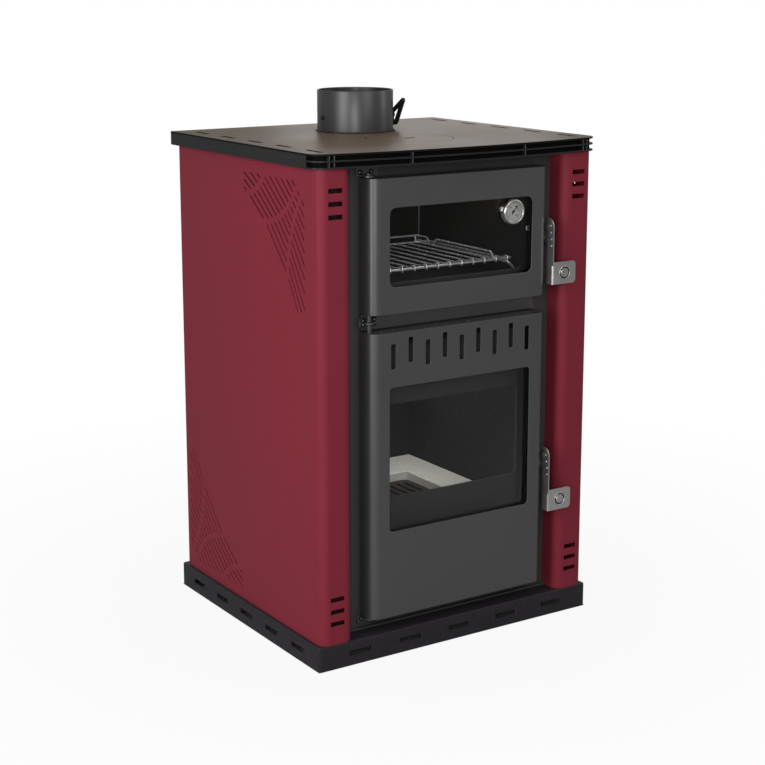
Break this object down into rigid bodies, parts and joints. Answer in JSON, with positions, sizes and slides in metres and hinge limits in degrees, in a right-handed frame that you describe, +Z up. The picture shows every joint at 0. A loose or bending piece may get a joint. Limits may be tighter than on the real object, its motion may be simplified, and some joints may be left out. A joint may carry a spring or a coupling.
{
  "type": "wood-burning cooker stove",
  "caption": "Free-standing wood-burning cooker stove: glass-fronted fire chamber below, glass-fronted oven above, hot plate with lid and flue collar on top, slotted plinth.",
  "frame": {"origin": "middle of the footprint, on the floor", "axes": "+X to the stove's right seen from the front, -Y to the front, +Z up"},
  "size_m": [0.546, 0.502, 0.886],
  "materials": {
    "red_paint": "satin, fine powder-coat texture",
    "black_paint": "satin black",
    "door_paint": "matt heat-resistant paint",
    "top_paint": "satin heat-resistant paint",
    "steel": "brushed stainless",
    "wire": "bright plated wire",
    "cast_iron": "sooty",
    "oven_steel": "dark enamel",
    "refractory": "rough, mottled",
    "brick": "rough, sooty",
    "rope": "woven glass-fibre rope",
    "glass": "clear",
    "dial": "white",
    "needle": "black"
  },
  "bodies": {
    "stove_body": {"plinth": "black_paint", "left_side_panel": "red_paint", "right_side_panel": "red_paint", "left_front_pillar": "red_paint", "right_front_pillar": "red_paint", "back_panel": "black_paint", "front_frame": "door_paint", "middle_rail": "door_paint", "top_plate": "top_paint", "front_trim": "black_paint", "inner_casing": "cast_iron", "hearth_plate": "cast_iron", "left_firebrick": "brick", "right_firebrick": "brick", "back_firebrick": "brick", "refractory_bed": "refractory", "fire_grate": "cast_iron", "smoke_baffle": "cast_iron", "oven_box": "oven_steel", "left_rack_runner": "wire", "right_rack_runner": "wire", "flue_collar": "black_paint", "top_hinge_bracket": "door_paint", "middle_hinge_bracket": "door_paint", "bottom_hinge_bracket": "door_paint", "top_hinge_pin": "steel", "middle_hinge_pin": "steel", "bottom_hinge_pin": "steel", "oven_strike": "steel", "fire_strike": "steel"},
    "oven_door": {"oven_door_skin": "door_paint", "oven_glass_gasket": "rope", "oven_door_glass": "glass", "oven_glass_retainer": "black_paint", "oven_door_inner_frame": "black_paint", "oven_door_rope": "rope", "thermometer_case": "steel", "thermometer_lens": "glass", "thermometer_dial": "dial", "thermometer_stem": "steel", "oven_handle_pin": "steel"},
    "fire_door": {"fire_door_skin": "door_paint", "fire_glass_gasket": "rope", "fire_door_glass": "glass", "fire_glass_retainer": "black_paint", "fire_door_inner_frame": "black_paint", "fire_door_rope": "rope", "fire_handle_pin": "steel"},
    "oven_handle": {"oven_handle": "steel"},
    "fire_handle": {"fire_handle": "steel"},
    "thermometer_needle": {"thermometer_needle": "needle"},
    "damper": {"damper_disc": "cast_iron", "damper_shaft": "steel", "damper_lever": "black_paint"},
    "cooking_lid": {"cooking_lid": "top_paint"},
    "oven_rack": {"oven_rack": "wire"},
    "ash_drawer": {"ash_drawer": "steel"}
  },
  "joints": [
    {"name": "oven_door_hinge", "type": "hinge", "parent": "stove_body", "child": "oven_door", "pos_m": [-0.162, -0.206, 0.667], "axis": [0, 0, -1], "range_deg": [0, 110]},
    {"name": "fire_door_hinge", "type": "hinge", "parent": "stove_body", "child": "fire_door", "pos_m": [-0.162, -0.206, 0.298], "axis": [0, 0, -1], "range_deg": [0, 110]},
    {"name": "oven_handle_turn", "type": "hinge", "parent": "oven_door", "child": "oven_handle", "pos_m": [0.1738, -0.223, 0.673], "axis": [-1, 0, 0], "range_deg": [0, 30]},
    {"name": "fire_handle_turn", "type": "hinge", "parent": "fire_door", "child": "fire_handle", "pos_m": [0.1738, -0.223, 0.285], "axis": [-1, 0, 0], "range_deg": [0, 30]},
    {"name": "thermometer_needle_turn", "type": "hinge", "parent": "oven_door", "child": "thermometer_needle", "pos_m": [0.0965, -0.233, 0.705], "axis": [0, 1, 0], "range_deg": [-170, 90]},
    {"name": "damper_turn", "type": "hinge", "parent": "stove_body", "child": "damper", "pos_m": [0, 0.08952, 0.84], "axis": [-1, 0, 0], "range_deg": [0, 90]},
    {"name": "cooking_lid_lift", "type": "slide", "parent": "stove_body", "child": "cooking_lid", "axis": [0, 0, 1], "range_m": [0, 0.04]},
    {"name": "oven_rack_slide", "type": "slide", "parent": "stove_body", "child": "oven_rack", "axis": [0, 1, 0], "range_m": [0, 0.045]},
    {"name": "ash_drawer_slide", "type": "slide", "parent": "stove_body", "child": "ash_drawer", "axis": [0, -1, 0], "range_m": [0, 0.105]}
  ],
  "couplings": [
    {"joint": "ash_drawer_slide", "follows": "fire_door_hinge", "m_per_rad": 0.052}
  ]
}
